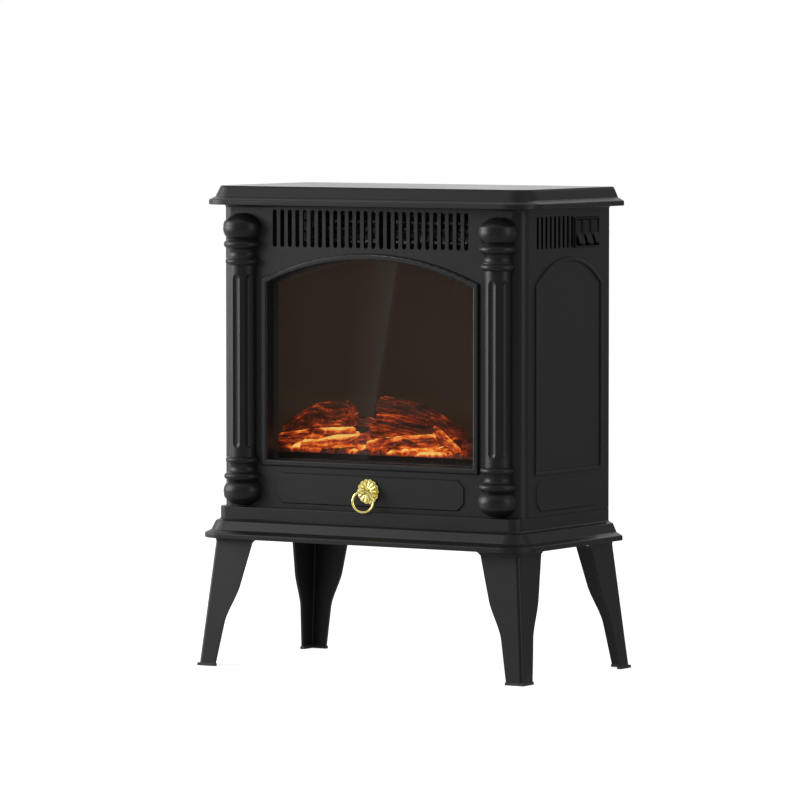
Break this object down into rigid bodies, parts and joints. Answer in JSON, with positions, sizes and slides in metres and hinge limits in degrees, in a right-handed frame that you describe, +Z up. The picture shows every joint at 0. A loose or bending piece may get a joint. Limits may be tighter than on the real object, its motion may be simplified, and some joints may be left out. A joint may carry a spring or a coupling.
{
  "type": "electric fireplace heater",
  "caption": "Freestanding stove-shaped electric fan heater with arched glass front, log flame effect, half-round columns, splayed legs, brass ring pull and side rocker switches.",
  "frame": {"origin": "on the floor, under the middle of the heater's whole outline", "axes": "+X to the viewer's right when facing the window, +Y back from the window towards the rear panel, +Z up"},
  "size_m": [0.4124, 0.2284, 0.515],
  "materials": {
    "stove_black": "semi-matt black enamel over cast and pressed metal",
    "back_black": "plain matt black coating",
    "brass": "polished, a little dulled",
    "smoked_glass": "brown-tinted toughened glass",
    "foot_rubber": "matt",
    "seal_rubber": "matt",
    "switch_black": "glossy with rounded edges",
    "screw_steel": "zinc plated",
    "liner_black": "heat-proof matt black",
    "screen_smoke": "smoked diffuser",
    "log_bark": "charred bark with glowing cracks",
    "embers": "translucent, lit from below",
    "board_green": "circuit board",
    "flame_foil": "bright",
    "galvanised": "galvanised sheet",
    "ribbon_alloy": "resistance ribbon on mica boards",
    "motor_steel": "laminated steel",
    "copper_coil": "enamelled winding",
    "wheel_alloy": "satin",
    "insulation": "cream insulating plastic"
  },
  "bodies": {
    "cabinet": {"top_plate": "stove_black", "front_panel": "stove_black", "side_panel_left": "stove_black", "side_panel_right": "stove_black", "back_panel": "back_black", "base_plinth": "stove_black", "base_pan": "back_black", "column_left": "stove_black", "column_right": "stove_black", "leg_front_left": "stove_black", "leg_front_right": "stove_black", "leg_rear_left": "stove_black", "leg_rear_right": "stove_black", "foot_pad_front_left": "foot_rubber", "foot_pad_front_right": "foot_rubber", "foot_pad_rear_left": "foot_rubber", "foot_pad_rear_right": "foot_rubber", "window_gasket": "seal_rubber", "glass_pane": "smoked_glass", "glass_clips": "galvanised", "clip_screws": "screw_steel", "rosette_plate": "brass", "ring_post": "brass", "post_nut": "screw_steel", "switch_flame": "switch_black", "switch_low_heat": "switch_black", "switch_high_heat": "switch_black", "firebox_side_left": "liner_black", "firebox_side_right": "liner_black", "firebox_roof": "liner_black", "flame_screen": "screen_smoke", "hearth_apron": "liner_black", "ember_bed": "embers", "log_set": "log_bark", "light_board": "board_green", "flame_mask": "flame_foil", "rotor_bearing": "galvanised", "rotor_motor": "motor_steel", "rotor_mount": "galvanised", "heater_duct": "galvanised", "heating_element": "ribbon_alloy", "blower_housing": "galvanised", "blower_bearing": "insulation", "blower_motor": "motor_steel", "blower_coil": "copper_coil", "thermal_cutout": "insulation", "terminal_block": "insulation", "cord_bushing": "switch_black", "leg_screws": "screw_steel", "top_screws": "screw_steel", "deck_screws": "screw_steel", "back_screws": "screw_steel"},
    "ring": {"ring_pull": "brass"},
    "flame_switch": {"rocker_flame": "switch_black"},
    "low_heat_switch": {"rocker_low_heat": "switch_black"},
    "high_heat_switch": {"rocker_high_heat": "switch_black"},
    "rotor": {"flame_rotor": "flame_foil"},
    "fan": {"blower_wheel": "wheel_alloy"}
  },
  "joints": [
    {"name": "ring_swing", "type": "hinge", "parent": "cabinet", "child": "ring", "pos_m": [0, -0.10005, 0.1946], "axis": [-0.9511, -0.309, 0], "range_deg": [-3, 190]},
    {"name": "flame_rock", "type": "hinge", "parent": "cabinet", "child": "flame_switch", "pos_m": [0.186, 0.02785, 0.4678], "axis": [0, 1, 0], "range_deg": [0, 24]},
    {"name": "low_heat_rock", "type": "hinge", "parent": "cabinet", "child": "low_heat_switch", "pos_m": [0.186, 0.04495, 0.4678], "axis": [0, 1, 0], "range_deg": [0, 24]},
    {"name": "high_heat_rock", "type": "hinge", "parent": "cabinet", "child": "high_heat_switch", "pos_m": [0.186, 0.06205, 0.4678], "axis": [0, 1, 0], "range_deg": [0, 24]},
    {"name": "rotor_spin", "type": "hinge", "parent": "cabinet", "child": "rotor", "pos_m": [0, 0.04095, 0.214], "axis": [1, 0, 0], "continuous": true},
    {"name": "fan_spin", "type": "hinge", "parent": "cabinet", "child": "fan", "pos_m": [0, -0.00305, 0.4752], "axis": [1, 0, 0], "continuous": true}
  ]
}
